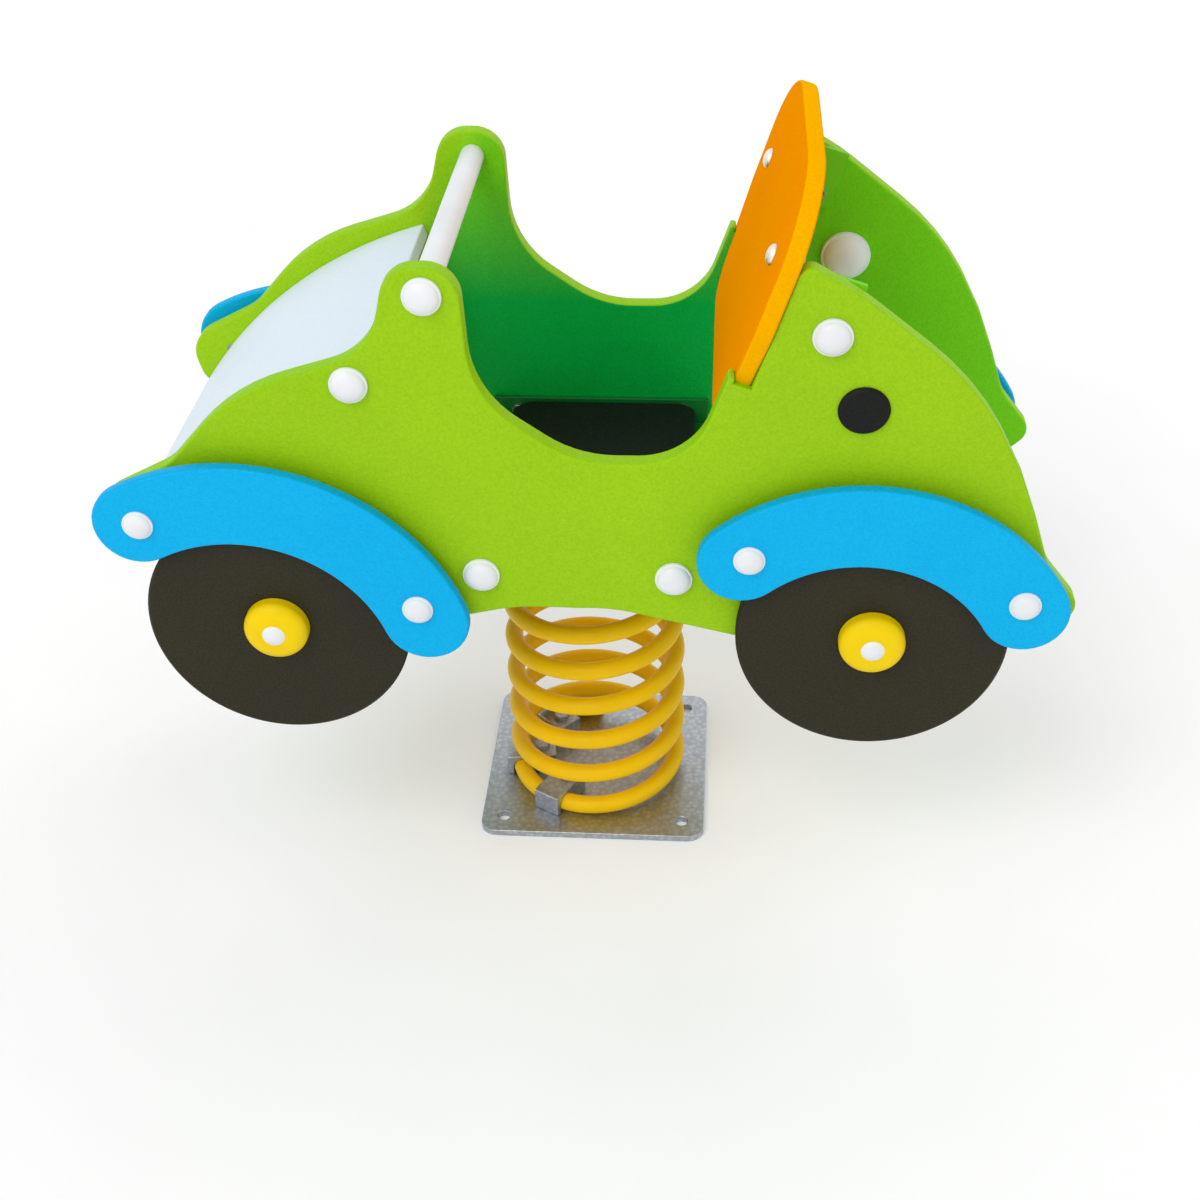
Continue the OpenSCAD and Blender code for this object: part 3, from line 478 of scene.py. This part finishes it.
def inset(points, width):
    """A loop moved inwards; a stretch too short to keep its direction shrinks to its middle."""
    count = len(points)
    moved = []
    for i in range(count):
        before = (points[i] - points[i - 1]).normalized().orthogonal()
        after = (points[(i + 1) % count] - points[i]).normalized().orthogonal()
        moved.append(points[i] + width * (before + after) / (1 + before.dot(after)))
    for i in range(count):
        j = (i + 1) % count
        if (moved[j] - moved[i]).dot(points[j] - points[i]) < 0:
            moved[i] = moved[j] = (moved[i] + moved[j]) / 2
    return moved


def rim_rows(width, low, high):
    """Depth and level of each ring of a round rim, from a sheet's high side to its low one."""
    rows = []
    for step in range(ROUND_STEPS + 1):
        turn = math.pi / 2 * step / ROUND_STEPS
        rows.append((width * (1 - math.sin(turn)), width * (1 - math.cos(turn))))
    upper = [(depth, high - drop) for depth, drop in rows]
    lower = [(depth, low + drop) for depth, drop in reversed(rows)]
    return upper + lower


def sheet_piece(name, width):
    """Stands for a flat CAD solid: the same outline, holes and thickness, with a round rim."""
    solid = bmesh.new()
    solid.from_mesh(nodes[name].data)
    bmesh.ops.remove_doubles(solid, verts=solid.verts, dist=WELD_DISTANCE)
    out = max(solid.faces, key=lambda f: f.calc_area()).normal.copy()
    across = out.orthogonal().normalized()
    along = out.cross(across)
    levels = [v.co.dot(out) for v in solid.verts]
    low, high = min(levels), max(levels)

    def flattened(loop):
        return [Vector((v.co.dot(across), v.co.dot(along))) for v in loop]

    sides = [flat_loops(solid, out, high), flat_loops(solid, -out, -low)]
    rims = [max(loops, key=lambda loop: abs(loop_area(flattened(loop)))) for _, loops in sides]
    outline = flattened(rims[0])
    hole_edges = []
    for (_, loops), rim in zip(sides, rims):
        holes = [loop for loop in loops if loop is not rim]
        hole_edges.append([edge for loop in holes for edge in loop_edges(solid, loop)])

    # Only the walls of the holes stay of the solid
    rim_corners = set(rims[0]) | set(rims[1])
    spare = set(sides[0][0]) | set(sides[1][0])
    spare.update(f for f in solid.faces if all(v in rim_corners for v in f.verts))
    bmesh.ops.delete(solid, geom=list(spare), context="FACES")

    rings = []
    for depth, level in rim_rows(width, low, high):
        rings.append([solid.verts.new(p.x * across + p.y * along + level * out)
                      for p in inset(outline, depth)])
    for before, after in zip(rings, rings[1:]):
        for i in range(len(outline)):
            solid.faces.new((before[i - 1], before[i], after[i], after[i - 1]))
    for ring, edges in ((rings[0], hole_edges[0]), (rings[-1], hole_edges[1])):
        bmesh.ops.triangle_fill(solid, use_beauty=True, edges=loop_edges(solid, ring) + edges)
    bmesh.ops.remove_doubles(solid, verts=solid.verts, dist=WELD_DISTANCE)
    return finished_mesh(solid, f"{name}_sheet")


for name, width in SHEETS.items():
    sheet = sheet_piece(name, width)
    dress(sheet, nodes[name].data.materials[0])
    even_shading(sheet)
    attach(sheet, "car")
    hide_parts(name)


# Spring: the wire lies flat at both ends and climbs between them

WIRE_R = 0.010
COIL_R = 0.090
SPRING_Z = 0.0083
SPRING_H = 0.354
OPEN_TURNS = 7
COIL_GAP = 0.0039
START_DEG = -90.0
EASE_DEG = 24.0
PITCH = (SPRING_H - 2 * WIRE_R) / OPEN_TURNS
END_DEG = 360.0 * (1.0 - (2 * WIRE_R + COIL_GAP) / PITCH)
CLIMB_DEG = 360.0 * OPEN_TURNS
WHOLE_DEG = CLIMB_DEG + 2 * END_DEG

RING_STEP_DEG = 5.0
TANGENT_DEG = 0.5
WIRE_SIDES = 24
TIP_R = 0.004
TIP_DEG = math.degrees(TIP_R / COIL_R)
TIP_SHARES = (0.0, 0.25, 0.55, 0.8, 0.95)


def eased(deg):
    """Zero before the climb and then the angle itself, with a smooth bend between them."""
    if deg <= -EASE_DEG:
        return 0.0
    if deg >= EASE_DEG:
        return deg
    return (deg + EASE_DEG) ** 2 / (4 * EASE_DEG)


def wire_point(deg):
    """Middle of the wire at an angle from its lower tip."""
    climb = eased(deg - END_DEG) - eased(deg - END_DEG - CLIMB_DEG)
    turn = math.radians(START_DEG + deg)
    height = SPRING_Z + WIRE_R + PITCH * climb / 360.0
    return Vector((COIL_R * math.cos(turn), COIL_R * math.sin(turn), height))


def wire_ring(mesh, deg, radius):
    """Corners round the wire, square to its run."""
    middle = wire_point(deg)
    along = (wire_point(deg + TANGENT_DEG) - wire_point(deg - TANGENT_DEG)).normalized()
    turn = math.radians(START_DEG + deg)
    out = Vector((math.cos(turn), math.sin(turn), 0.0))
    up = out.cross(along)
    ring = []
    for k in range(WIRE_SIDES):
        angle = 2 * math.pi * k / WIRE_SIDES
        ring.append(mesh.verts.new(middle + radius * (math.cos(angle) * out + math.sin(angle) * up)))
    return ring


def tip_rows(tip_deg, inwards):
    """Angle and radius of each ring of a rounded tip, from its end; inwards is 1 or -1."""
    rows = []
    for share in TIP_SHARES:
        turn = share * math.pi / 2
        rows.append((tip_deg + inwards * TIP_DEG * (1 - math.cos(turn)),
                     WIRE_R - TIP_R + TIP_R * math.sin(turn)))
    return rows


def wire_piece(name, first_deg, last_deg, tip_first=False, tip_last=False):
    """A closed stretch of the wire; a tip is rounded, and the other end is cut straight."""
    steps = math.ceil((last_deg - first_deg - 2 * TIP_DEG) / RING_STEP_DEG)
    start = first_deg + (TIP_DEG if tip_first else 0.0)
    end = last_deg - (TIP_DEG if tip_last else 0.0)
    rows = [(start + (end - start) * i / steps, WIRE_R) for i in range(steps + 1)]
    if tip_first:
        rows = tip_rows(first_deg, 1) + rows
    if tip_last:
        rows = rows + tip_rows(last_deg, -1)[::-1]
    mesh = bmesh.new()
    rings = [wire_ring(mesh, deg, radius) for deg, radius in rows]
    for before, after in zip(rings, rings[1:]):
        for k in range(WIRE_SIDES):
            n = (k + 1) % WIRE_SIDES
            mesh.faces.new((before[k], before[n], after[n], after[k]))
    mesh.faces.new(rings[0][::-1])
    mesh.faces.new(rings[-1])
    obj = finished_mesh(mesh, name)
    dress(obj, SLOT_LOOKS["spring_yellow"])
    return obj


# The wire is made in two halves that meet at its middle
lower = wire_piece("spring_lower_half", 0.0, WHOLE_DEG / 2, tip_first=True)
upper = wire_piece("spring_upper_half", WHOLE_DEG / 2, WHOLE_DEG, tip_last=True)
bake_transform(lower)
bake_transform(upper)
for half in (lower, upper):
    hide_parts("spring")


# Stage and light

FLOOR_HALF = 30.0
FLOOR_ROUGHNESS = 0.9
FLOOR_GLOSS = 0.1
FLOOR_CLOUD_SCALE = 3.0
FLOOR_LIFT = (0.13, 0.34)
FLOOR_LIFT_AT = (1.2, 6.0)
WORLD_LIGHT = 0.74
LAMP_TARGET = Vector((0, 0, 0.4))


def shown_directly(tree):
    """1 where the background is seen straight, in a reflection or through glass, and else 0."""
    rays = tree.nodes.new("ShaderNodeLightPath")
    share = rays.outputs["Is Camera Ray"]
    for name in ("Is Glossy Ray", "Is Transmission Ray"):
        larger = tree.nodes.new("ShaderNodeMath")
        larger.operation = "MAXIMUM"
        tree.links.new(share, larger.inputs[0])
        tree.links.new(rays.outputs[name], larger.inputs[1])
        share = larger.outputs["Value"]
    return share


def floor_look():
    """Pale paint, lifted towards white where it is the picture's background, most far off."""
    look = Look("floor_paint", FLOOR_ROUGHNESS)
    look.set("Specular IOR Level", FLOOR_GLOSS)
    cloud = look.ramp(look.noise(FLOOR_CLOUD_SCALE, detail=4.0), *NOISE_SPAN)
    look.set("Base Color", look.mix(cloud, srgb(243, 243, 243), srgb(247, 247, 247)))
    away = look.node("ShaderNodeVectorMath", Vector=look.place)
    away.operation = "LENGTH"
    lift = look.ramp(away.outputs["Value"], *FLOOR_LIFT_AT, *FLOOR_LIFT)
    look.set("Emission Color", WHITE)
    look.set("Emission Strength", look.math("MULTIPLY", lift, shown_directly(look.tree)))
    return look.material


def wide_floor():
    """A square of floor that reaches far past the picture's edges."""
    corners = [(x * FLOOR_HALF, y * FLOOR_HALF, 0) for x, y in ((-1, -1), (1, -1), (1, 1), (-1, 1))]
    data = bpy.data.meshes.new("floor")
    data.from_pydata(corners, [], [(0, 1, 2, 3)])
    obj = add_object("floor", data)
    dress(obj, floor_look())
    return obj


def studio_world():
    """White where it is seen, with a plain level of light for everything else."""
    world = bpy.data.worlds.new("studio")
    world.use_nodes = True
    tree = world.node_tree
    level = tree.nodes.new("ShaderNodeMapRange")
    level.inputs["To Min"].default_value = WORLD_LIGHT
    level.inputs["To Max"].default_value = 1.0
    background = tree.nodes["Background"]
    background.inputs["Color"].default_value = WHITE
    tree.links.new(shown_directly(tree), level.inputs["Value"])
    tree.links.new(level.outputs["Result"], background.inputs["Strength"])
    return world


def lamp(name, place, size, power):
    """A round soft lamp that points at the car."""
    data = bpy.data.lights.new(name, "AREA")
    data.shape = "DISK"
    data.size = size
    data.energy = power
    obj = add_object(name, data)
    obj.location = place
    obj.rotation_mode = "QUATERNION"
    obj.rotation_quaternion = (LAMP_TARGET - Vector(place)).to_track_quat("-Z", "Y")


floor = wide_floor()
bpy.context.scene.world = studio_world()
lamp("key", place=(2.2, 3.8, 5.2), size=3.6, power=120.0)
lamp("back", place=(-2.6, -3.0, 4.4), size=3.2, power=30.0)


# Camera as fitted to the photograph, with a picture of 1200 by 1200 pixels

PICTURE = 1200.0
SENSOR = 36.0
FOCAL_PX = 1706.667
CENTRE_PX = (592.79, 547.42)
YAW, PITCH_DOWN, ROLL = 0.0887, 0.5879, -0.0281
TARGET = Vector((0, 0, 0.308))
DISTANCE = 1.84066


def photo_camera():
    """A camera with the fitted lens, that looks at the target from its distance and direction."""
    data = bpy.data.cameras.new("camera")
    data.sensor_width = SENSOR
    data.lens = SENSOR * FOCAL_PX / PICTURE
    data.shift_x = (PICTURE / 2 - CENTRE_PX[0]) / PICTURE
    data.shift_y = (CENTRE_PX[1] - PICTURE / 2) / PICTURE
    back = Vector((-math.sin(YAW) * math.cos(PITCH_DOWN), math.cos(YAW) * math.cos(PITCH_DOWN),
                   math.sin(PITCH_DOWN)))
    level_right = Vector((-math.cos(YAW), -math.sin(YAW), 0))
    level_up = back.cross(level_right)
    right = math.cos(ROLL) * level_right + math.sin(ROLL) * level_up
    up = math.cos(ROLL) * level_up - math.sin(ROLL) * level_right
    turn = Matrix((right, up, back)).transposed().to_4x4()
    camera = add_object("camera", data)
    camera.matrix_world = Matrix.Translation(TARGET + back * DISTANCE) @ turn
    return camera


bpy.context.scene.camera = photo_camera()
bpy.context.scene.view_settings.view_transform = "Standard"
